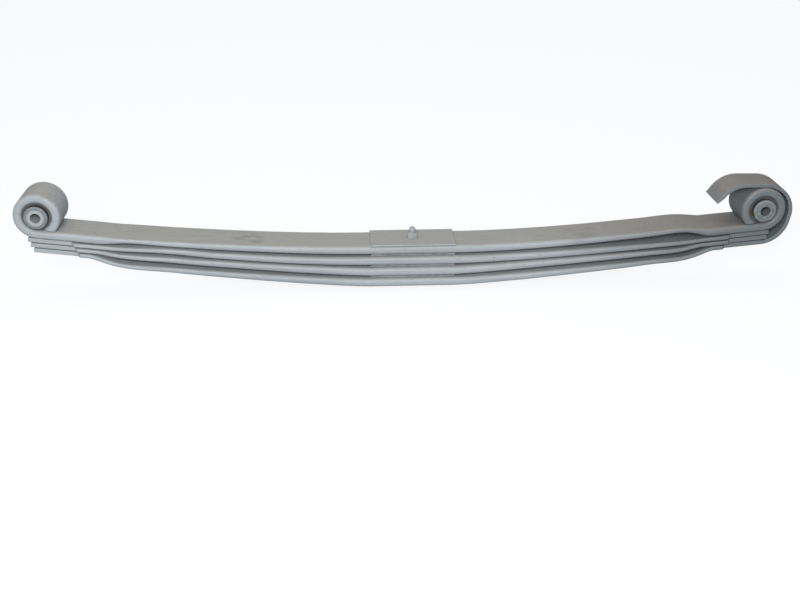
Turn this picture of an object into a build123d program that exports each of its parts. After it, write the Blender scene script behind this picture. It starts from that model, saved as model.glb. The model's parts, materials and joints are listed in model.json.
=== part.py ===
from build123d import *

import os
from math import acos, atan2, cos, degrees, radians, sin, sqrt, tan

# A four-leaf parabolic truck spring with rubber bushed eyes and a wrapped right end.
# The origin is on the centre bolt's axis, at the underside of the lowest leaf, where the
# axle seat goes. +X runs along the spring towards the wrapped end, +Z is up.

# ---------------------------------------------------------------- driving dimensions, mm

LEAF_WIDTH = 90.0
LEAF_THICK = 17.5
LINER_THICK = 6.5
LINER_WIDTH = 66.0
PLATE_THICK = 3.0
PLATE_WIDTH = 88.0
LEAF_PITCH = LEAF_THICK + LINER_THICK
CLAMP_HALF = 87.0
CONTACT_GAP = 0.02

# Leaf edges are rounded in proportion to the leaf's thickness.
EDGE_SHARE = 0.4

EYE_BORE_R = 28.5
EYE_WALL = 17.4
EYE_OUTER_R = EYE_BORE_R + EYE_WALL

# Each half: direction, eye reach from the bolt, eye height over the seat, slope of the
# leaf end under the eye.
LEFT = {"sign": -1, "reach": 746.0, "height": 164.3, "slope": 6.9}
RIGHT = {"sign": 1, "reach": 719.0, "height": 154.6, "slope": 5.4}

# The end of a roll is cut at a slant so that it lies along the leaf below it. Both angles
# are counted about the eye's centre, from the leaf.
ROLL_CUT_INNER = 30.0
ROLL_CUT_GAP = 1.0
ROLL_CUT_OUTER = degrees(acos((EYE_BORE_R - ROLL_CUT_GAP) / EYE_OUTER_R))

# Leaf ends below the main leaf lie parallel to its straight end, with wear pads between.
END_THICK = 8.3
END_GAP = 2.3
END_PITCH = END_THICK + END_GAP
TRIM_WIDTH = 72.0
TRIM_LEAD = 6.0

# Each leaf: how many leaves down it lies and, for each half, the power of its curve, the
# rise of its underside from the clamp to its joggle, and where the joggle starts and ends.
MAIN = {
    "level": 0,
    "power": {-1: 1.65, 1: 1.65},
    "rise": {-1: 33.1, 1: 36.5},
    "joggle": {-1: (570, 633), 1: (550, 620)},
}
SECOND = {
    "level": 1,
    "power": {-1: 1.7, 1: 1.4},
    "rise": {-1: 31.3, 1: 32.0},
    "joggle": {-1: (480, 600), 1: (549, 612)},
}
THIRD = {
    "level": 2,
    "power": {-1: 1.28, 1: 1.15},
    "rise": {-1: 49.5, 1: 39.8},
    "joggle": {-1: (590, 640), 1: (546, 605)},
}
WRAPPER = {
    "level": 3,
    "power": {-1: 1.3, 1: 1.3},
    "rise": {-1: 52.8, 1: 46.9},
    "joggle": {-1: (588, 661), 1: (565, 630)},
}

SECOND_TIPS = {-1: 770.0, 1: 739.0}
THIRD_TIPS = {-1: 766.0, 1: 736.0}
SECOND_TRIM = {-1: 679.0, 1: 652.0}
THIRD_TRIM = {-1: 674.0, 1: 652.0}
WRAPPER_TRIM = {-1: 669.0, 1: 642.0}

# The wrapper: where it leaves the straight leaf end, then an arc under the eye, a straight
# rise, an arc over the eye, a flat top, and a turned-down lip that thins to its tip.
WRAPPER_ENDS = {-1: 761.0, 1: 725.0}
WRAP_THICK = 7.2
WRAP_LOW_R = 60.0
WRAP_LOW_TURN = 73.9
WRAP_RISE = 11.4
WRAP_TOP_R = 60.0
WRAP_TOP_TURN = 100.0
WRAP_FLAT = 42.0
WRAP_LIP_TURN = 56.6
WRAP_LIP = 16.0
LIP_TIP_THICK = 3.2

# Centre bolt, M14 with a cylindrical dowel head below the seat.
BOLT_R = 7.0
BOLT_HOLE_R = 7.25
BOLT_HEAD_R = 12.0
BOLT_HEAD_LENGTH = 10.0
BOLT_HEAD_CHAMFER = 1.5
BOLT_END_ABOVE = 23.0
BOLT_END_ROUND = 6.5
NUT_FLATS = 18.0
NUT_HEIGHT = 12.0
NUT_HOLE_R = 7.05
NUT_CHAMFER = 0.9
SPOT_DEPTH = 0.5
HEAD_SPOT_R = 13.5
NUT_SPOT_R = 12.5
PLATE_ROUND = 1.2

# Wear pads between the leaf ends, each with a spigot in the leaf below it.
PAD_LENGTH = 44.0
PAD_WIDTH = 60.0
PAD_ROUND = 6.0
PAD_AT = {-1: 715.0, 1: 690.0}
SPIGOT_R = 6.0
SPIGOT_LENGTH = 4.0
SPIGOT_HOLE_R = 6.1
SPIGOT_HOLE_DEPTH = 5.0

# Rubber bushes.
SLEEVE_HALF = 40.0
SLEEVE_WALL = 2.5
SLEEVE_R = EYE_BORE_R - CONTACT_GAP
TUBE_R = 17.0
TUBE_BORE_R = 10.0
TUBE_HALF = 52.0
TUBE_CHAMFER = 1.0
RUBBER_HALF = 38.0
RUBBER_LIP_R = 24.0
RUBBER_LIP_HALF = 50.5
RUBBER_R = SLEEVE_R - SLEEVE_WALL - CONTACT_GAP
RUNNING_GAP = 0.05

# ---------------------------------------------------------------- derived heights

MAIN_UNDERSIDE = 3 * LEAF_PITCH
MAIN_TOP = MAIN_UNDERSIDE + LEAF_THICK
PLATE_TOP = MAIN_TOP + PLATE_THICK

# Distances from the bolt at which the free length of a leaf is laid out, and the number of
# steps in which its joggle is.
FREE_STATIONS = (CLAMP_HALF, 120, 165, 220, 290, 370, 450, 510)
JOGGLE_STEPS = 3


def end_line(half, reach, drop):
    """Height of a line that lies a drop below the underside of the main leaf's end."""
    slope = radians(half["slope"])
    touch = half["reach"] + EYE_OUTER_R * sin(slope)
    height = half["height"] - EYE_OUTER_R * cos(slope) + (reach - touch) * tan(slope)
    return height - drop / cos(slope)


def ease(share):
    """Smooth step from 0 to 1."""
    share = min(max(share, 0.0), 1.0)
    return share * share * (3 - 2 * share)


def settle(leaf, half, reach):
    """How far a leaf has passed through its joggle, 0 to 1."""
    start, finish = leaf["joggle"][half["sign"]]
    return ease((reach - start) / (finish - start))


def underside(leaf, half, reach):
    """Height of a leaf's underside: a power curve, then the straight end."""
    side = half["sign"]
    start = leaf["joggle"][side][0]
    run = (reach - CLAMP_HALF) / (start - CLAMP_HALF)
    free = (3 - leaf["level"]) * LEAF_PITCH + leaf["rise"][side] * run ** leaf["power"][side]
    settled = end_line(half, reach, leaf["level"] * END_PITCH)
    return free + (settled - free) * settle(leaf, half, reach)


def thickness(leaf, half, reach):
    """Thickness of a leaf: parabolic for even stress, then constant along the end."""
    end = EYE_WALL if leaf["level"] == 0 else END_THICK
    taper = LEAF_THICK * sqrt((half["reach"] - reach) / (half["reach"] - CLAMP_HALF))
    taper = max(taper, END_THICK)
    return taper + (end - taper) * settle(leaf, half, reach)


def section_plane(leaf, half, reach):
    """A plane across a leaf at mid thickness, facing along the leaf, with its x along Y."""
    side = half["sign"]
    low = underside(leaf, half, reach)
    slope = atan2(underside(leaf, half, reach + 1) - low, 1)
    if reach == CLAMP_HALF:
        slope = 0.0
    lift = thickness(leaf, half, reach) / 2
    origin = (side * (reach - lift * sin(slope)), 0, low + lift * cos(slope))
    return Plane(origin, x_dir=(0, 1, 0), z_dir=(side * cos(slope), 0, sin(slope)))


def leaf_section(plane, thick):
    """A leaf's cross-section, with its edges rounded."""
    with BuildSketch(plane) as outline:
        RectangleRounded(LEAF_WIDTH, thick, EDGE_SHARE * thick)
    return outline.sketch


def clamped_length(leaf):
    """The flat middle of a leaf, between the clamp plates."""
    plane = section_plane(leaf, LEFT, CLAMP_HALF)
    extrude(leaf_section(plane, LEAF_THICK), amount=-2 * CLAMP_HALF)


def free_length(leaf, half):
    """A leaf from the clamp's edge to the end of its joggle."""
    start, finish = leaf["joggle"][half["sign"]]
    step = (finish - start) / JOGGLE_STEPS
    stations = [reach for reach in FREE_STATIONS if reach < start]
    stations += [start + step * index for index in range(JOGGLE_STEPS + 1)]
    sections = []
    for reach in stations:
        plane = section_plane(leaf, half, reach)
        sections.append(leaf_section(plane, thickness(leaf, half, reach)))
    loft(sections)


def straight_end(leaf, half, reach):
    """A leaf's straight end, from its joggle to a distance from the bolt."""
    finish = leaf["joggle"][half["sign"]][1]
    plane = section_plane(leaf, half, finish)
    length = (reach - finish) / cos(radians(half["slope"]))
    extrude(leaf_section(plane, thickness(leaf, half, finish)), amount=length)


def eye_point(half, radius, angle):
    """A point about an eye's centre, by its angle from the leaf, in the XZ plane."""
    turn = radians(half["slope"] - angle)
    across = half["sign"] * (half["reach"] + radius * sin(turn))
    return (across, half["height"] - radius * cos(turn))


def rolled_eye(leaf, half):
    """The roll of an eye, with its end cut to lie along the leaf."""
    side = half["sign"]
    slope = radians(half["slope"])
    middle = EYE_BORE_R + EYE_WALL / 2
    across, height = eye_point(half, middle, 0)
    plane = Plane((across, 0, height), x_dir=(0, 1, 0), z_dir=(side * cos(slope), 0, sin(slope)))
    axis = Axis((side * half["reach"], 0, half["height"]), (0, -side, 0))
    revolve(leaf_section(plane, EYE_WALL), axis=axis, revolution_arc=360 - ROLL_CUT_INNER)
    with BuildSketch(Plane.XZ) as outline:
        with BuildLine():
            Polyline(
                eye_point(half, EYE_BORE_R, ROLL_CUT_INNER),
                eye_point(half, EYE_OUTER_R, ROLL_CUT_OUTER),
                eye_point(half, 1.5 * EYE_OUTER_R, ROLL_CUT_OUTER),
                eye_point(half, 1.5 * EYE_OUTER_R, ROLL_CUT_INNER),
                close=True,
            )
        make_face()
    extrude(outline.sketch, amount=LEAF_WIDTH, both=True, mode=Mode.SUBTRACT)
    straight_end(leaf, half, half["reach"] + middle * sin(slope) + EYE_WALL / 2 * sin(slope))


def wrap(start, radius_offset):
    """One surface of the wrapper, from the leaf end to the start of its straight lip."""
    slope = radians(RIGHT["slope"])
    low = JernArc(start, (cos(slope), sin(slope)), WRAP_LOW_R - radius_offset, WRAP_LOW_TURN)
    rise = Line(low @ 1, low @ 1 + WRAP_RISE * (low % 1))
    over = JernArc(rise @ 1, rise % 1, WRAP_TOP_R - radius_offset, WRAP_TOP_TURN)
    flat = Line(over @ 1, over @ 1 + WRAP_FLAT * (over % 1))
    return JernArc(flat @ 1, flat % 1, WRAP_TOP_R - radius_offset, WRAP_LIP_TURN)


def wrapped_strip():
    """The narrow strip that runs round the main leaf's right eye."""
    slope = radians(RIGHT["slope"])
    reach = WRAPPER_ENDS[1]
    height = end_line(RIGHT, reach, WRAPPER["level"] * END_PITCH)
    outer_start = (reach, height)
    inner_start = (reach - WRAP_THICK * sin(slope), height + WRAP_THICK * cos(slope))
    with BuildSketch(Plane.XZ) as outline:
        with BuildLine():
            outer = wrap(outer_start, 0)
            inner = wrap(inner_start, WRAP_THICK)
            lip = Line(outer @ 1, outer @ 1 + WRAP_LIP * (outer % 1))
            inner_tip = lip @ 1 + LIP_TIP_THICK / WRAP_THICK * (inner @ 1 - outer @ 1)
            Line(inner @ 1, inner_tip)
            Line(lip @ 1, inner_tip)
            Line(outer_start, inner_start)
        make_face()
    extrude(outline.sketch, amount=TRIM_WIDTH / 2, both=True)


def trim_sides(trims):
    """Narrow a leaf's ends, from a distance along each half outwards."""
    far = LEFT["reach"] + 2 * EYE_OUTER_R
    for side, begin in trims.items():
        for edge in (-1, 1):
            with BuildSketch(Plane.XY) as outline:
                with BuildLine():
                    Polyline(
                        (side * begin, edge * LEAF_WIDTH),
                        (side * begin, edge * LEAF_WIDTH / 2),
                        (side * (begin + TRIM_LEAD), edge * TRIM_WIDTH / 2),
                        (side * far, edge * TRIM_WIDTH / 2),
                        (side * far, edge * LEAF_WIDTH),
                        close=True,
                    )
                make_face()
            extrude(outline.sketch, amount=far, mode=Mode.SUBTRACT)


def end_plane(half, level, lift):
    """A plane on a leaf end's top surface, at the wear pad, raised by lift."""
    side = half["sign"]
    reach = PAD_AT[side]
    slope = side * radians(half["slope"])
    height = end_line(half, reach, level * END_PITCH - END_THICK)
    normal = (-sin(slope), 0, cos(slope))
    base = Vector(side * reach, 0, height) + Vector(*normal) * lift
    return Plane(base, x_dir=(cos(slope), 0, sin(slope)), z_dir=normal)


def pad_sockets(level):
    """Blind holes in both ends of a leaf, for the wear pads' spigots."""
    for half in (LEFT, RIGHT):
        with BuildSketch(end_plane(half, level, 0)) as outline:
            Circle(SPIGOT_HOLE_R)
        extrude(outline.sketch, amount=-SPIGOT_HOLE_DEPTH, mode=Mode.SUBTRACT)


def bolt_hole():
    """The centre bolt's hole, through the whole stack."""
    with BuildSketch(Plane.XY) as outline:
        Circle(BOLT_HOLE_R)
    extrude(outline.sketch, amount=PLATE_TOP, mode=Mode.SUBTRACT)


def clamp_piece(floor, width, thick):
    """A liner between two leaves, or the plate on top of them."""
    with BuildSketch(Plane.XY.offset(floor + CONTACT_GAP)) as outline:
        RectangleRounded(2 * CLAMP_HALF, width, PLATE_ROUND)
    extrude(outline.sketch, amount=thick - 2 * CONTACT_GAP)
    bolt_hole()


def wear_pad(half, level):
    """A pad on top of a leaf end, with its spigot pointing down into the leaf."""
    thick = END_GAP * cos(radians(half["slope"])) - 2 * CONTACT_GAP
    with BuildSketch(end_plane(half, level, CONTACT_GAP)) as outline:
        RectangleRounded(PAD_LENGTH, PAD_WIDTH, PAD_ROUND)
    extrude(outline.sketch, amount=thick)
    with BuildSketch(end_plane(half, level, CONTACT_GAP)) as outline:
        Circle(SPIGOT_R)
    extrude(outline.sketch, amount=-SPIGOT_LENGTH)


def eye_plane(half):
    """A plane across the middle of an eye, facing -Y."""
    centre = (half["sign"] * half["reach"], 0, half["height"])
    return Plane(centre, x_dir=(1, 0, 0), z_dir=(0, -1, 0))


def bush_sleeve(half):
    """The steel outer sleeve, pressed into the eye."""
    with BuildSketch(eye_plane(half)) as outline:
        Circle(SLEEVE_R)
        Circle(SLEEVE_R - SLEEVE_WALL, mode=Mode.SUBTRACT)
    extrude(outline.sketch, amount=SLEEVE_HALF, both=True)


def bush_rubber(half):
    """The rubber between sleeve and tube, with a lip at each end round the tube."""
    with BuildSketch(eye_plane(half)) as outline:
        Circle(RUBBER_R)
    extrude(outline.sketch, amount=RUBBER_HALF, both=True)
    with BuildSketch(eye_plane(half)) as outline:
        Circle(RUBBER_LIP_R)
    extrude(outline.sketch, amount=RUBBER_LIP_HALF, both=True)
    with BuildSketch(eye_plane(half)) as outline:
        Circle(TUBE_R + RUNNING_GAP)
    extrude(outline.sketch, amount=RUBBER_LIP_HALF, both=True, mode=Mode.SUBTRACT)


def bush_tube(half):
    """The thick steel tube that the hanger or shackle bolt clamps."""
    with BuildSketch(eye_plane(half)) as outline:
        Circle(TUBE_R)
        Circle(TUBE_BORE_R, mode=Mode.SUBTRACT)
    extrude(outline.sketch, amount=TUBE_HALF, both=True)


def write(node, name):
    """Label a finished piece and write it."""
    node.part.label = name
    export_step(node.part, f"parts/{name}.step")


os.makedirs("parts", exist_ok=True)

# ---------------------------------------------------------------- leaves

with BuildPart() as main_leaf:
    rolled_eye(MAIN, LEFT)
    rolled_eye(MAIN, RIGHT)
    free_length(MAIN, LEFT)
    free_length(MAIN, RIGHT)
    clamped_length(MAIN)
    bolt_hole()
write(main_leaf, "main_leaf")

with BuildPart() as second_leaf:
    clamped_length(SECOND)
    for half in (LEFT, RIGHT):
        free_length(SECOND, half)
        straight_end(SECOND, half, SECOND_TIPS[half["sign"]])
    trim_sides(SECOND_TRIM)
    pad_sockets(SECOND["level"])
    bolt_hole()
write(second_leaf, "second_leaf")

with BuildPart() as third_leaf:
    clamped_length(THIRD)
    for half in (LEFT, RIGHT):
        free_length(THIRD, half)
        straight_end(THIRD, half, THIRD_TIPS[half["sign"]])
    trim_sides(THIRD_TRIM)
    pad_sockets(THIRD["level"])
    bolt_hole()
write(third_leaf, "third_leaf")

with BuildPart() as wrapper_leaf:
    wrapped_strip()
    clamped_length(WRAPPER)
    for half in (LEFT, RIGHT):
        free_length(WRAPPER, half)
        straight_end(WRAPPER, half, WRAPPER_ENDS[half["sign"]])
    trim_sides(WRAPPER_TRIM)
    pad_sockets(WRAPPER["level"])
    bolt_hole()
    with BuildSketch(Plane.XY):
        Circle(HEAD_SPOT_R)
    extrude(amount=SPOT_DEPTH, mode=Mode.SUBTRACT)
write(wrapper_leaf, "wrapper_leaf")

# ---------------------------------------------------------------- clamped stack

with BuildPart() as top_plate:
    clamp_piece(MAIN_TOP, PLATE_WIDTH, PLATE_THICK)
    fillet(top_plate.faces().sort_by(Axis.Z)[-1].outer_wire().edges(), PLATE_ROUND)
    with BuildSketch(Plane.XY.offset(PLATE_TOP - CONTACT_GAP)):
        Circle(NUT_SPOT_R)
    extrude(amount=-SPOT_DEPTH, mode=Mode.SUBTRACT)
write(top_plate, "top_plate")

with BuildPart() as upper_liner:
    clamp_piece(MAIN_UNDERSIDE - LINER_THICK, LINER_WIDTH, LINER_THICK)
write(upper_liner, "upper_liner")

with BuildPart() as middle_liner:
    clamp_piece(MAIN_UNDERSIDE - LEAF_PITCH - LINER_THICK, LINER_WIDTH, LINER_THICK)
write(middle_liner, "middle_liner")

with BuildPart() as lower_liner:
    clamp_piece(MAIN_UNDERSIDE - 2 * LEAF_PITCH - LINER_THICK, LINER_WIDTH, LINER_THICK)
write(lower_liner, "lower_liner")

HEAD_SEAT = SPOT_DEPTH - CONTACT_GAP
NUT_SEAT = PLATE_TOP - SPOT_DEPTH

with BuildPart() as centre_bolt:
    with BuildSketch(Plane.XY.offset(HEAD_SEAT)):
        Circle(BOLT_HEAD_R)
    extrude(amount=-BOLT_HEAD_LENGTH)
    chamfer(centre_bolt.edges().sort_by(Axis.Z)[0], BOLT_HEAD_CHAMFER)
    with BuildSketch(Plane.XY.offset(HEAD_SEAT)):
        Circle(BOLT_R)
    extrude(amount=PLATE_TOP + BOLT_END_ABOVE - HEAD_SEAT)
    fillet(centre_bolt.edges().sort_by(Axis.Z)[-1], BOLT_END_ROUND)
write(centre_bolt, "centre_bolt")

with BuildPart() as centre_nut:
    with BuildSketch(Plane.XY.offset(NUT_SEAT)):
        RegularPolygon(NUT_FLATS / 2, 6, major_radius=False, rotation=30)
    extrude(amount=NUT_HEIGHT)
    with BuildSketch(Plane.XZ):
        with BuildLine():
            Polyline(
                (0, NUT_SEAT),
                (NUT_FLATS / sqrt(3), NUT_SEAT),
                (NUT_FLATS / sqrt(3), NUT_SEAT + NUT_HEIGHT - NUT_CHAMFER),
                (NUT_FLATS / 2, NUT_SEAT + NUT_HEIGHT),
                (0, NUT_SEAT + NUT_HEIGHT),
                close=True,
            )
        make_face()
    revolve(axis=Axis.Z, mode=Mode.INTERSECT)
    with BuildSketch(Plane.XY.offset(NUT_SEAT)):
        Circle(NUT_HOLE_R)
    extrude(amount=NUT_HEIGHT, mode=Mode.SUBTRACT)
write(centre_nut, "centre_nut")

# ---------------------------------------------------------------- wear pads

with BuildPart() as left_upper_pad:
    wear_pad(LEFT, SECOND["level"])
write(left_upper_pad, "left_upper_pad")

with BuildPart() as left_middle_pad:
    wear_pad(LEFT, THIRD["level"])
write(left_middle_pad, "left_middle_pad")

with BuildPart() as left_lower_pad:
    wear_pad(LEFT, WRAPPER["level"])
write(left_lower_pad, "left_lower_pad")

with BuildPart() as right_upper_pad:
    wear_pad(RIGHT, SECOND["level"])
write(right_upper_pad, "right_upper_pad")

with BuildPart() as right_middle_pad:
    wear_pad(RIGHT, THIRD["level"])
write(right_middle_pad, "right_middle_pad")

with BuildPart() as right_lower_pad:
    wear_pad(RIGHT, WRAPPER["level"])
write(right_lower_pad, "right_lower_pad")

# ---------------------------------------------------------------- bushes

with BuildPart() as left_bush_sleeve:
    bush_sleeve(LEFT)
write(left_bush_sleeve, "left_bush_sleeve")

with BuildPart() as left_bush_rubber:
    bush_rubber(LEFT)
write(left_bush_rubber, "left_bush_rubber")

with BuildPart() as left_bush_tube:
    bush_tube(LEFT)
    chamfer(left_bush_tube.edges().filter_by(GeomType.CIRCLE), TUBE_CHAMFER)
write(left_bush_tube, "left_bush_tube")

with BuildPart() as right_bush_sleeve:
    bush_sleeve(RIGHT)
write(right_bush_sleeve, "right_bush_sleeve")

with BuildPart() as right_bush_rubber:
    bush_rubber(RIGHT)
write(right_bush_rubber, "right_bush_rubber")

with BuildPart() as right_bush_tube:
    bush_tube(RIGHT)
    chamfer(right_bush_tube.edges().filter_by(GeomType.CIRCLE), TUBE_CHAMFER)
write(right_bush_tube, "right_bush_tube")
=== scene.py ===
import json
from math import cos, pi, radians, sin, tau

import bmesh
import bpy
from mathutils import Matrix, Vector


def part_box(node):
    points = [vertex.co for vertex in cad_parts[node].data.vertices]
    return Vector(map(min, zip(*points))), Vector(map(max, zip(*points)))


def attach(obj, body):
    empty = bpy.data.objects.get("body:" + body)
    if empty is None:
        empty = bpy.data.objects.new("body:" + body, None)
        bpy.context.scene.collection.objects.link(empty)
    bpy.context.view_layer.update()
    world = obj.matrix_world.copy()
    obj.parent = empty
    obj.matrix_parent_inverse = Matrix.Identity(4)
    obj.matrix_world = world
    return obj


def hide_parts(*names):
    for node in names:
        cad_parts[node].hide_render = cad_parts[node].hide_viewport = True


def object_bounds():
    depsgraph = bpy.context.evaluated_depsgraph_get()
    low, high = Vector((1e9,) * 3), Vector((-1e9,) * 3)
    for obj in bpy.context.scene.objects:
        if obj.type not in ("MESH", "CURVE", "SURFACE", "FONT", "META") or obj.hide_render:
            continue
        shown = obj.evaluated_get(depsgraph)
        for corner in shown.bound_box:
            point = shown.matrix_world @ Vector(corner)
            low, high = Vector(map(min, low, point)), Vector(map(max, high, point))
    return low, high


# A painted four-leaf truck spring with rubber bushes, on a pale studio floor. Every length
# is in metres and every angle in degrees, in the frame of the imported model.

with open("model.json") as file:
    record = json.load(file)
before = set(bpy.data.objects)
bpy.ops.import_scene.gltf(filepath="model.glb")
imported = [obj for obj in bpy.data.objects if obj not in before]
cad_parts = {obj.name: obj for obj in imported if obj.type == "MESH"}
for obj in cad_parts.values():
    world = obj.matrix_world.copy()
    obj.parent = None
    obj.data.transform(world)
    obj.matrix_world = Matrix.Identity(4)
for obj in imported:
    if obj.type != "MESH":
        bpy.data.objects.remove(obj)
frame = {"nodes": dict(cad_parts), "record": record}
cad_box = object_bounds()

# ---------------------------------------------------------------- camera, light and floor

CAMERA_AT = (-0.1628, -2.1464, 0.9286)
CAMERA_YAW = 3.69
CAMERA_PITCH = 24.47
CAMERA_ROLL = 0.36
CAMERA_LENS = 50.15
SENSOR_WIDTH = 36.0
CAMERA_FAR = 100.0

KEY_AT = (-0.36, -2.40, 1.30)
KEY_AIM = (-0.05, 0.0, 0.08)
KEY_SIZE = 0.8
KEY_WATTS = 62.0
KEY_COLOUR = (0.93, 0.97, 1.0)

TOP_AT = (-0.5, 0.4, 2.6)
TOP_AIM = (-0.1, 0.0, 0.0)
TOP_SIZE = 2.4
TOP_WATTS = 20.0
TOP_COLOUR = (1.0, 0.97, 0.92)

SKY_COLOUR = (0.95, 0.97, 1.0)
SKY_STRENGTH = 0.40

FLOOR_REACH = 14.0
FLOOR_GAP = 0.0005
FLOOR_SEEN = (0.12, 0.12, 0.12)
FLOOR_BOUNCE = (0.42, 0.43, 0.45)
FLOOR_GLOW_COLOUR = (0.98, 0.99, 1.0)
FLOOR_GLOW = 0.88

# ---------------------------------------------------------------- colours, linear

PAINT_LIGHT = (0.385, 0.412, 0.424)
PAINT_DARK = (0.330, 0.354, 0.366)
PAINT_IN_END_SHADE = (0.128, 0.142, 0.146)
PAINT_WORN = (0.48, 0.50, 0.51)
# DUST is the colour of dust; laid on faces that look up, it is also painted shade that darkens them for
# the weaker light on top.
DUST = (0.335, 0.325, 0.300)
DUST_BROWN_AND_END_SHADE = (0.232, 0.205, 0.186)
# Dark grime; also used as painted shade in crevices and on the recessed sleeve end.
GRIME_AND_SHADE = (0.055, 0.060, 0.066)
# Liner colours: painted shade for the shadow between the leaves, in a darker and a lighter patch.
LINER_SHADE_DARK = (0.215, 0.230, 0.240)
LINER_SHADE_LIGHT = (0.300, 0.318, 0.328)
RUST = (0.115, 0.052, 0.024)
BARE_STEEL = (0.30, 0.29, 0.28)
RUBBER_BLACK = (0.028, 0.029, 0.031)
OVERSPRAY = (0.225, 0.255, 0.268)
GREASE = (0.085, 0.066, 0.022)
PLASTIC_BLACK = (0.020, 0.021, 0.023)

# ---------------------------------------------------------------- where the colours lie

# Towards the wrapped end the primer is darkened between these two distances along X: painted shade, for
# the light falling off towards that end. Road dust lies on upward faces, except where another leaf
# shelters them, and its darker, warmer colour there is partly painted shade on the faces that look up.
# It creeps a little further down their sides at the shaded end.
END_SHADE_FROM = 0.18
END_SHADE_TO = 0.72
DUST_AND_SHADE_CREEP = 0.08
SHELTER_REACH = 0.060
# How far the painted shade in crevices reaches.
CREVICE_SHADE_REACH = 0.004
# How far the painted shade in the bush groove reaches.
GROOVE_SHADE_REACH = 0.008
SCUFF_AT = ((-0.335, -0.005, 0.108), (0.345, -0.010, 0.108))
SCUFF_REACH = 0.050
GREASE_AT = (0.6945, -0.042, 0.1480)
GREASE_REACH = 0.011

# ---------------------------------------------------------------- node settings

# Sockets of the Mix node once it mixes colours: its names repeat, so it is wired by number.
MIX_SHARE = 0
MIX_FIRST = 6
MIX_SECOND = 7
MIX_RESULT = 2
CREVICE_SAMPLES = 8
ROUNDING_SAMPLES = 6
EVERYWHERE = 1.0

# ---------------------------------------------------------------- bushes and bolt

SHARP_ANGLE = 40.0
RUBBER_SEGMENTS = 96
LIP_RADIUS = 0.0238
LIP_ROUND = 0.0036
LIP_STEPS = 4
GROOVE_DEPTH = 0.0120
GROOVE_STEPS = 8
RUBBER_CLEAR = 0.00006
TUBE_RADIUS = 0.017

BOLT_RADIUS = 0.007
BOLT_CHAMFER = 0.0015
BOLT_HEAD_LENGTH = 0.010
BOLT_END_ROUND = 0.0065
BOLT_END_STEPS = 6
THREAD_PITCH = 0.0015
THREAD_DEPTH = 0.0008
# Above 1, the flanks are steeper than a plain V and leave a flat at the thread's root.
THREAD_FLANK = 1.15
THREAD_LENGTH = 0.028
THREAD_SEGMENTS = 48
THREAD_RINGS_PER_TURN = 8


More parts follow.
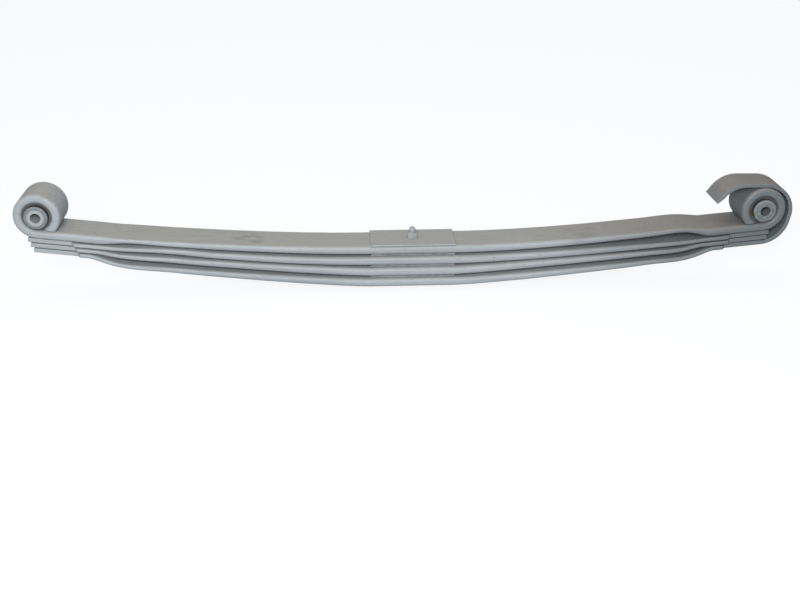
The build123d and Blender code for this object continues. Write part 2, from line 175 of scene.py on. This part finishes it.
class Graph:
    """One material's node graph, with short calls for the nodes used here."""

    def __init__(self, name):
        self.material = bpy.data.materials.new(name)
        self.material.use_nodes = True
        self.tree = self.material.node_tree
        self.shader = self.tree.nodes["Principled BSDF"]
        coordinates = self.add("ShaderNodeTexCoord")
        self.place = coordinates.outputs["Object"]
        self.facing = self.split(coordinates.outputs["Normal"])

    def add(self, kind, **settings):
        node = self.tree.nodes.new(kind)
        for name, value in settings.items():
            setattr(node, name, value)
        return node

    def feed(self, socket, value):
        """Link a socket to another one, or give it a plain value."""
        if isinstance(value, bpy.types.NodeSocket):
            self.tree.links.new(value, socket)
        elif socket.type == "RGBA":
            socket.default_value = (*value, 1.0)
        else:
            socket.default_value = value

    def split(self, vector):
        node = self.add("ShaderNodeSeparateXYZ")
        self.feed(node.inputs[0], vector)
        return node.outputs

    def math(self, operation, first, second=0.0):
        node = self.add("ShaderNodeMath", operation=operation)
        self.feed(node.inputs[0], first)
        self.feed(node.inputs[1], second)
        return node.outputs[0]

    def vector(self, operation, first, second):
        node = self.add("ShaderNodeVectorMath", operation=operation)
        self.feed(node.inputs[0], first)
        self.feed(node.inputs[1], second)
        return node.outputs["Value" if operation in ("DOT_PRODUCT", "DISTANCE") else "Vector"]

    def noise(self, size, detail=3.0, squeeze=(1.0, 1.0, 1.0)):
        """Noise with blobs of about a size across; an axis squeezed below 1 stretches them."""
        node = self.add("ShaderNodeTexNoise")
        self.feed(node.inputs["Vector"], self.vector("MULTIPLY", self.place, squeeze))
        self.feed(node.inputs["Scale"], 1 / size)
        self.feed(node.inputs["Detail"], detail)
        return node.outputs["Fac"]

    def step(self, value, low, high):
        """Smooth step from 0 at low to 1 at high."""
        node = self.add("ShaderNodeMapRange", interpolation_type="SMOOTHSTEP")
        self.feed(node.inputs["Value"], value)
        self.feed(node.inputs["From Min"], low)
        self.feed(node.inputs["From Max"], high)
        return node.outputs["Result"]

    def mix(self, share, first, second):
        """The first colour at a share of 0, the second at 1."""
        node = self.add("ShaderNodeMix", data_type="RGBA")
        self.feed(node.inputs[MIX_SHARE], share)
        self.feed(node.inputs[MIX_FIRST], first)
        self.feed(node.inputs[MIX_SECOND], second)
        return node.outputs[MIX_RESULT]

    def lay(self, top, over, where, strength=1.0):
        """A top colour laid over another one, where a mask is 1, at up to a strength."""
        return self.mix(self.both(where, strength), over, top)

    def both(self, first, second):
        """The product of two masks."""
        return self.math("MULTIPLY", first, second)

    def near(self, centre, reach):
        """1 at a point of the piece, 0 beyond a reach of it."""
        distance = self.vector("DISTANCE", self.place, centre)
        return self.step(distance, low=reach, high=reach / 2)

    def crevice(self, distance):
        """1 deep in a crevice, 0 in the open."""
        node = self.add("ShaderNodeAmbientOcclusion", samples=CREVICE_SAMPLES)
        self.feed(node.inputs["Distance"], distance)
        return self.step(node.outputs["AO"], low=0.85, high=0.25)

    def rounded(self, radius):
        """The normal of the surface with its sharp edges rounded off."""
        node = self.add("ShaderNodeBevel", samples=ROUNDING_SAMPLES)
        self.feed(node.inputs["Radius"], radius)
        return node.outputs["Normal"]

    def edges(self, rounded):
        """1 along sharp edges, 0 elsewhere."""
        true_normal = self.add("ShaderNodeNewGeometry").outputs["True Normal"]
        along = self.vector("DOT_PRODUCT", rounded, true_normal)
        return self.step(along, low=0.985, high=0.80)

    def bump(self, height, strength, distance, normal):
        node = self.add("ShaderNodeBump")
        self.feed(node.inputs["Strength"], strength)
        self.feed(node.inputs["Distance"], distance)
        self.feed(node.inputs["Height"], height)
        self.feed(node.inputs["Normal"], normal)
        return node.outputs["Normal"]

    def finish(self, colour, roughness, normal):
        self.feed(self.shader.inputs["Base Color"], colour)
        self.feed(self.shader.inputs["Roughness"], roughness)
        self.feed(self.shader.inputs["Normal"], normal)
        return self.material


# ---------------------------------------------------------------- materials


def dust_and_top_shade_mask(graph, along):
    """1 on open faces that look up, 0 on sides and under another leaf: where dust and painted shade on
    upward faces go.
    """
    upward = graph.math("ADD", graph.facing["Z"], graph.both(along, DUST_AND_SHADE_CREEP))
    in_the_open = graph.math("SUBTRACT", 1.0, graph.crevice(SHELTER_REACH))
    return graph.both(graph.step(upward, low=0.45, high=0.95), in_the_open)


def spray_normal(graph, rounded):
    """Orange peel and fine grain on the rounded surface."""
    peel = graph.noise(size=0.0048, detail=2.0)
    grain = graph.noise(size=0.0011, detail=3.0)
    normal = graph.bump(peel, strength=0.30, distance=0.0006, normal=rounded)
    return graph.bump(grain, strength=0.34, distance=0.0003, normal=normal)


def sprayed(graph, under, thin_above, edge_radius):
    """Primer sprayed over an under-colour, with painted shade towards the wrapped end, on faces that
    look up and in crevices: returns its colour, roughness and normal.
    """
    rounded = graph.rounded(edge_radius)
    tone = graph.noise(size=0.110, detail=4.0, squeeze=(0.35, 1.0, 1.0))
    colour = graph.mix(graph.step(tone, low=0.34, high=0.66), PAINT_DARK, PAINT_LIGHT)
    mottle = graph.step(graph.noise(size=0.014, detail=4.0), low=0.42, high=0.70)
    colour = graph.lay(PAINT_DARK, over=colour, where=mottle, strength=0.22)
    # Painted shade: the primer darkens towards the wrapped end, standing for the light falling off
    # there.
    along = graph.step(graph.split(graph.place)["X"], low=END_SHADE_FROM, high=END_SHADE_TO)
    colour = graph.lay(PAINT_IN_END_SHADE, over=colour, where=along, strength=0.85)
    # Dust on faces that look up, partly painted shade for the weaker light there; browner and darker
    # towards the wrapped end, and that darkening is painted shade too.
    dust_and_top_shade = dust_and_top_shade_mask(graph, along)
    dust_and_top_shade_colour = graph.mix(along, DUST, DUST_BROWN_AND_END_SHADE)
    colour = graph.lay(dust_and_top_shade_colour, over=colour, where=dust_and_top_shade, strength=0.92)
    thin = graph.step(graph.noise(size=0.0022, detail=5.0), low=thin_above, high=thin_above + 0.10)
    colour = graph.lay(under, over=colour, where=thin, strength=0.55)
    colour = graph.lay(PAINT_WORN, over=colour, where=graph.edges(rounded), strength=0.40)
    # Painted shade: darkening where the surface sits deep in a crevice, such as between the leaves and
    # under the plate.
    colour = graph.lay(GRIME_AND_SHADE, over=colour, where=graph.crevice(CREVICE_SHADE_REACH), strength=0.22)
    mottled_roughness = graph.math("ADD", graph.both(mottle, 0.14), 0.50)
    roughness = graph.math("ADD", graph.both(dust_and_top_shade, 0.14), mottled_roughness)
    return colour, roughness, spray_normal(graph, rounded)


def leaf_paint():
    """Primer over rolled steel: lengthwise rolling streaks, rust specks and faint scuffs."""
    graph = Graph("leaf_paint")
    colour, roughness, normal = sprayed(graph, under=GRIME_AND_SHADE, thin_above=0.70, edge_radius=0.0022)
    streak = graph.noise(size=0.0060, detail=4.0, squeeze=(0.045, 1.0, 1.0))
    streaked = graph.step(streak, low=0.52, high=0.72)
    colour = graph.lay(GRIME_AND_SHADE, over=colour, where=streaked, strength=0.16)
    region = graph.step(graph.noise(size=0.16, detail=2.0), low=0.50, high=0.62)
    speck = graph.step(graph.noise(size=0.0042, detail=2.0), low=0.70, high=0.75)
    colour = graph.lay(RUST, over=colour, where=graph.both(region, speck))
    blots = graph.noise(size=0.0200, detail=6.0, squeeze=(0.6, 1.0, 1.0))
    smudge = graph.step(blots, low=0.40, high=0.74)
    for centre in SCUFF_AT:
        scuff = graph.both(graph.near(centre, SCUFF_REACH), smudge)
        colour = graph.lay(GRIME_AND_SHADE, over=colour, where=scuff, strength=0.32)
    normal = graph.bump(streak, strength=0.30, distance=0.0009, normal=normal)
    return graph.finish(colour, roughness, normal)


def plate_paint():
    """Primer over flat plate, with short scratches where tools have slipped."""
    graph = Graph("plate_paint")
    colour, roughness, normal = sprayed(graph, under=GRIME_AND_SHADE, thin_above=0.70, edge_radius=0.0012)
    marks = graph.noise(size=0.0035, detail=3.0, squeeze=(0.12, 1.0, 1.0))
    scratch = graph.step(marks, low=0.66, high=0.72)
    colour = graph.lay(PAINT_WORN, over=colour, where=scratch, strength=0.35)
    normal = graph.bump(scratch, strength=0.25, distance=0.0003, normal=normal)
    return graph.finish(colour, roughness, normal)


def liner_painted_shade():
    """Plate between the leaves: a dark colour that is painted shade for the shadow under each leaf,
    with an uneven mist of overspray.
    """
    graph = Graph("liner_painted_shade")
    mist = graph.step(graph.noise(size=0.0150, detail=4.0), low=0.34, high=0.66)
    colour = graph.mix(mist, LINER_SHADE_DARK, LINER_SHADE_LIGHT)
    grain = graph.noise(size=0.0012, detail=3.0)
    normal = graph.bump(grain, strength=0.30, distance=0.0003, normal=graph.rounded(0.0006))
    roughness = graph.math("ADD", graph.both(mist, 0.15), 0.60)
    return graph.finish(colour, roughness, normal)


def fastener_paint():
    """Primer over a nut and bolt, chipped in places to bare steel."""
    graph = Graph("fastener_paint")
    colour, roughness, normal = sprayed(graph, under=BARE_STEEL, thin_above=0.60, edge_radius=0.0005)
    chip = graph.step(graph.noise(size=0.0016, detail=3.0), low=0.60, high=0.66)
    return graph.finish(graph.lay(BARE_STEEL, over=colour, where=chip), roughness, normal)


def pad_plastic():
    """Black moulded plastic with a fine leathery grain and a patchy mist of overspray."""
    graph = Graph("pad_plastic")
    grain = graph.noise(size=0.0009, detail=4.0)
    mist = graph.step(graph.noise(size=0.0030, detail=4.0), low=0.50, high=0.66)
    colour = graph.lay(PAINT_DARK, over=PLASTIC_BLACK, where=mist, strength=0.45)
    normal = graph.bump(grain, strength=0.40, distance=0.0004, normal=graph.rounded(0.0006))
    roughness = graph.math("ADD", graph.both(grain, 0.20), 0.45)
    return graph.finish(colour, roughness, normal)


def bush_rubber():
    """Moulded black rubber under a patchy coat of overspray, darkened down in the groove as painted
    shade.
    """
    graph = Graph("bush_rubber")
    grain = graph.noise(size=0.0013, detail=4.0)
    cover = graph.step(graph.noise(size=0.0120, detail=5.0), low=0.22, high=0.62)
    outward = graph.step(graph.math("ABSOLUTE", graph.facing["Y"]), low=0.05, high=0.70)
    thickness = graph.math("ADD", graph.both(cover, 0.22), 0.66)
    colour = graph.lay(OVERSPRAY, over=RUBBER_BLACK, where=outward, strength=thickness)
    # Painted shade: the overspray is darkened back towards black deep in the groove.
    colour = graph.lay(RUBBER_BLACK, over=colour, where=graph.crevice(GROOVE_SHADE_REACH), strength=0.50)
    colour = graph.lay(GREASE, over=colour, where=graph.near(GREASE_AT, GREASE_REACH))
    normal = graph.bump(grain, strength=0.45, distance=0.0005, normal=graph.rounded(0.0006))
    roughness = graph.math("ADD", graph.both(cover, 0.18), 0.58)
    return graph.finish(colour, roughness, normal)


def tube_steel():
    """Primer on the tube, with pale worn patches on its end faces."""
    graph = Graph("tube_steel")
    colour, roughness, normal = sprayed(graph, under=BARE_STEEL, thin_above=0.62, edge_radius=0.0006)
    worn = graph.step(graph.noise(size=0.0060, detail=4.0), low=0.52, high=0.62)
    outward = graph.step(graph.math("ABSOLUTE", graph.facing["Y"]), low=0.60, high=0.95)
    colour = graph.lay(DUST, over=colour, where=graph.both(worn, outward), strength=0.55)
    return graph.finish(colour, roughness, normal)


def sleeve_steel():
    """Primer over the sleeve's cut end, darkened all over as painted shade for the recess it sits in,
    with a little rust coming through.
    """
    graph = Graph("sleeve_steel")
    colour, roughness, normal = sprayed(graph, under=GRIME_AND_SHADE, thin_above=0.60, edge_radius=0.0004)
    # Painted shade: the recessed sleeve end is darkened all over to read as the shadow down in the eye.
    colour = graph.lay(GRIME_AND_SHADE, over=colour, where=EVERYWHERE, strength=0.85)
    rust = graph.step(graph.noise(size=0.0110, detail=3.0), low=0.56, high=0.66)
    colour = graph.lay(RUST, over=colour, where=rust, strength=0.45)
    colour = graph.lay(GREASE, over=colour, where=graph.near(GREASE_AT, GREASE_REACH))
    return graph.finish(colour, roughness, normal)


def floor_paint():
    """Matt pale paper; it looks whiter to the camera than the light it throws back."""
    graph = Graph("floor_paint")
    seen = graph.add("ShaderNodeLightPath").outputs["Is Camera Ray"]
    flat = graph.add("ShaderNodeNewGeometry").outputs["Normal"]
    tooth = graph.noise(size=0.003, detail=2.0)
    normal = graph.bump(tooth, strength=0.04, distance=0.0002, normal=flat)
    graph.feed(graph.shader.inputs["Emission Color"], FLOOR_GLOW_COLOUR)
    graph.feed(graph.shader.inputs["Emission Strength"], graph.both(seen, FLOOR_GLOW))
    return graph.finish(graph.mix(seen, FLOOR_BOUNCE, FLOOR_SEEN), 0.95, normal)


# ---------------------------------------------------------------- meshes


def mesh_object(name, shape, material):
    """An object from a bmesh, shaded smooth except at its sharp edges."""
    bmesh.ops.recalc_face_normals(shape, faces=shape.faces)
    mesh = bpy.data.meshes.new(name)
    shape.to_mesh(mesh)
    shape.free()
    mesh.shade_smooth()
    mesh.set_sharp_from_angle(angle=radians(SHARP_ANGLE))
    mesh.materials.append(material)
    piece = bpy.data.objects.new(name, mesh)
    bpy.context.scene.collection.objects.link(piece)
    return piece


def rubber_half_outline(outer, inner, lip_end):
    """Points (radius, distance from the middle) over one end of a bush's rubber."""
    points = [(inner, lip_end), (LIP_RADIUS - LIP_ROUND, lip_end)]
    for index in range(1, LIP_STEPS + 1):
        angle = radians(90 * (1 - index / LIP_STEPS))
        radius = LIP_RADIUS - LIP_ROUND * (1 - cos(angle))
        points.append((radius, lip_end - LIP_ROUND * (1 - sin(angle))))
    width = (outer - LIP_RADIUS) / 2
    for index in range(GROOVE_STEPS + 1):
        angle = pi * index / GROOVE_STEPS
        radius = LIP_RADIUS + width * (1 - cos(angle))
        points.append((radius, lip_end - GROOVE_DEPTH - width * sin(angle)))
    return points


def bush_rubber_piece(side, material):
    """The moulded rubber of one bush: a round lip at each end and a groove round it."""
    low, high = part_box(f"{side}_bush_rubber")
    centre = (low + high) / 2
    outer = (high.x - low.x) / 2
    end = rubber_half_outline(outer, TUBE_RADIUS + RUBBER_CLEAR, (high.y - low.y) / 2)
    outline = end + [(radius, -reach) for radius, reach in reversed(end)]
    shape = bmesh.new()
    rings = []
    for index in range(RUBBER_SEGMENTS):
        angle = tau * index / RUBBER_SEGMENTS
        ring = [shape.verts.new((r * cos(angle), y, r * sin(angle))) for r, y in outline]
        rings.append(ring)
    for ring, following in zip(rings, rings[1:] + rings[:1]):
        for index in range(len(outline)):
            before = index - 1
            shape.faces.new((ring[before], ring[index], following[index], following[before]))
    shape.transform(Matrix.Translation(centre))
    piece = mesh_object(f"{side}_bush_moulding", shape, material)
    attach(piece, "spring")
    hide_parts(f"{side}_bush_rubber")


def bolt_rings(low, high):
    """(height, radius, share of the thread's depth) up the bolt."""
    head_top = low + BOLT_HEAD_LENGTH
    corner_low, corner_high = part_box("centre_bolt")
    head_radius = (corner_high.x - corner_low.x) / 2
    rings = [(low, head_radius - BOLT_CHAMFER, 0), (low + BOLT_CHAMFER, head_radius, 0)]
    rings += [(head_top, head_radius, 0), (head_top, BOLT_RADIUS, 0)]
    start = high - THREAD_LENGTH
    rings.append((start, BOLT_RADIUS, 0))
    spacing = THREAD_PITCH / THREAD_RINGS_PER_TURN
    count = int((THREAD_LENGTH - BOLT_END_ROUND) / spacing)
    for index in range(1, count + 1):
        rings.append((start + spacing * index, BOLT_RADIUS, min(1, index / THREAD_RINGS_PER_TURN)))
    for index in range(1, BOLT_END_STEPS + 1):
        angle = radians(90 * index / BOLT_END_STEPS)
        radius = BOLT_RADIUS - BOLT_END_ROUND * (1 - cos(angle))
        rings.append((high - BOLT_END_ROUND * (1 - sin(angle)), radius, 0))
    return rings


def thread_depth(height, share):
    """How deep the thread is cut at a height, a share of the way round; its root is flat."""
    phase = (height / THREAD_PITCH - share) % 1
    return THREAD_DEPTH * min(1, abs(2 * phase - 1) * THREAD_FLANK)


def threaded_bolt(material):
    """The centre bolt, with a real helical thread on its upper end."""
    low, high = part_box("centre_bolt")
    shape = bmesh.new()
    circles = []
    for height, radius, cut in bolt_rings(low.z, high.z):
        circle = []
        for index in range(THREAD_SEGMENTS):
            share = index / THREAD_SEGMENTS
            reach = radius - cut * thread_depth(height, share)
            angle = tau * share
            circle.append(shape.verts.new((reach * cos(angle), reach * sin(angle), height)))
        circles.append(circle)
    for below, above in zip(circles, circles[1:]):
        for index in range(THREAD_SEGMENTS):
            before = index - 1
            shape.faces.new((below[before], below[index], above[index], above[before]))
    shape.faces.new(circles[0])
    shape.faces.new(circles[-1])
    piece = mesh_object("centre_bolt_threaded", shape, material)
    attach(piece, "spring")
    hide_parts("centre_bolt")


# ---------------------------------------------------------------- stage


def add_camera():
    """The camera stands a little above the spring and looks across its leaves."""
    data = bpy.data.cameras.new("camera")
    data.lens = CAMERA_LENS
    data.sensor_width = SENSOR_WIDTH
    data.clip_end = CAMERA_FAR
    camera = bpy.data.objects.new("camera", data)
    bpy.context.scene.collection.objects.link(camera)
    turn = Matrix.Rotation(radians(-CAMERA_YAW), 4, "Z")
    tilt = Matrix.Rotation(radians(90 - CAMERA_PITCH), 4, "X")
    roll = Matrix.Rotation(radians(CAMERA_ROLL), 4, "Z")
    camera.matrix_world = Matrix.Translation(CAMERA_AT) @ turn @ tilt @ roll
    bpy.context.scene.camera = camera


def add_softbox(name, place, aim, size, watts, colour):
    """A square soft light at a place, facing an aim point."""
    data = bpy.data.lights.new(name, "AREA")
    data.size = size
    data.energy = watts
    data.color = colour
    light = bpy.data.objects.new(name, data)
    light.location = place
    light.rotation_euler = (Vector(aim) - Vector(place)).to_track_quat("-Z", "Y").to_euler()
    bpy.context.scene.collection.objects.link(light)


def add_sky():
    world = bpy.data.worlds.new("studio")
    world.use_nodes = True
    background = world.node_tree.nodes["Background"]
    background.inputs["Color"].default_value = (*SKY_COLOUR, 1)
    background.inputs["Strength"].default_value = SKY_STRENGTH
    bpy.context.scene.world = world


def add_floor(height):
    """A wide floor of pale paper just under the spring."""
    mesh = bpy.data.meshes.new("floor")
    signs = ((-1, -1), (1, -1), (1, 1), (-1, 1))
    mesh.from_pydata([(a * FLOOR_REACH, b * FLOOR_REACH, height) for a, b in signs], [], [(0, 1, 2, 3)])
    mesh.materials.append(floor_paint())
    floor = bpy.data.objects.new("floor", mesh)
    bpy.context.scene.collection.objects.link(floor)


# ---------------------------------------------------------------- build

materials = {
    "leaf_paint": leaf_paint(),
    "plate_paint": plate_paint(),
    "fastener": fastener_paint(),
    "pad_plastic": pad_plastic(),
    "bush_rubber": bush_rubber(),
    "sleeve_steel": sleeve_steel(),
    "tube_steel": tube_steel(),
}
# The liners get a dark colour of their own, as painted shade between the leaves.
liner_shade_material = liner_painted_shade()
for subpart in frame["record"]["subparts"]:
    node = frame["nodes"][subpart["node"]]
    is_liner = subpart["node"].endswith("_liner")
    node.data.materials.clear()
    node.data.materials.append(liner_shade_material if is_liner else materials[subpart["material_slot"]])

for side in ("left", "right"):
    bush_rubber_piece(side, materials["bush_rubber"])
threaded_bolt(materials["fastener"])

add_camera()
add_sky()
add_floor(cad_box[0][2] - FLOOR_GAP)
add_softbox("key", KEY_AT, KEY_AIM, KEY_SIZE, KEY_WATTS, KEY_COLOUR)
add_softbox("top", TOP_AT, TOP_AIM, TOP_SIZE, TOP_WATTS, TOP_COLOUR)
bpy.context.scene.view_settings.view_transform = "Standard"
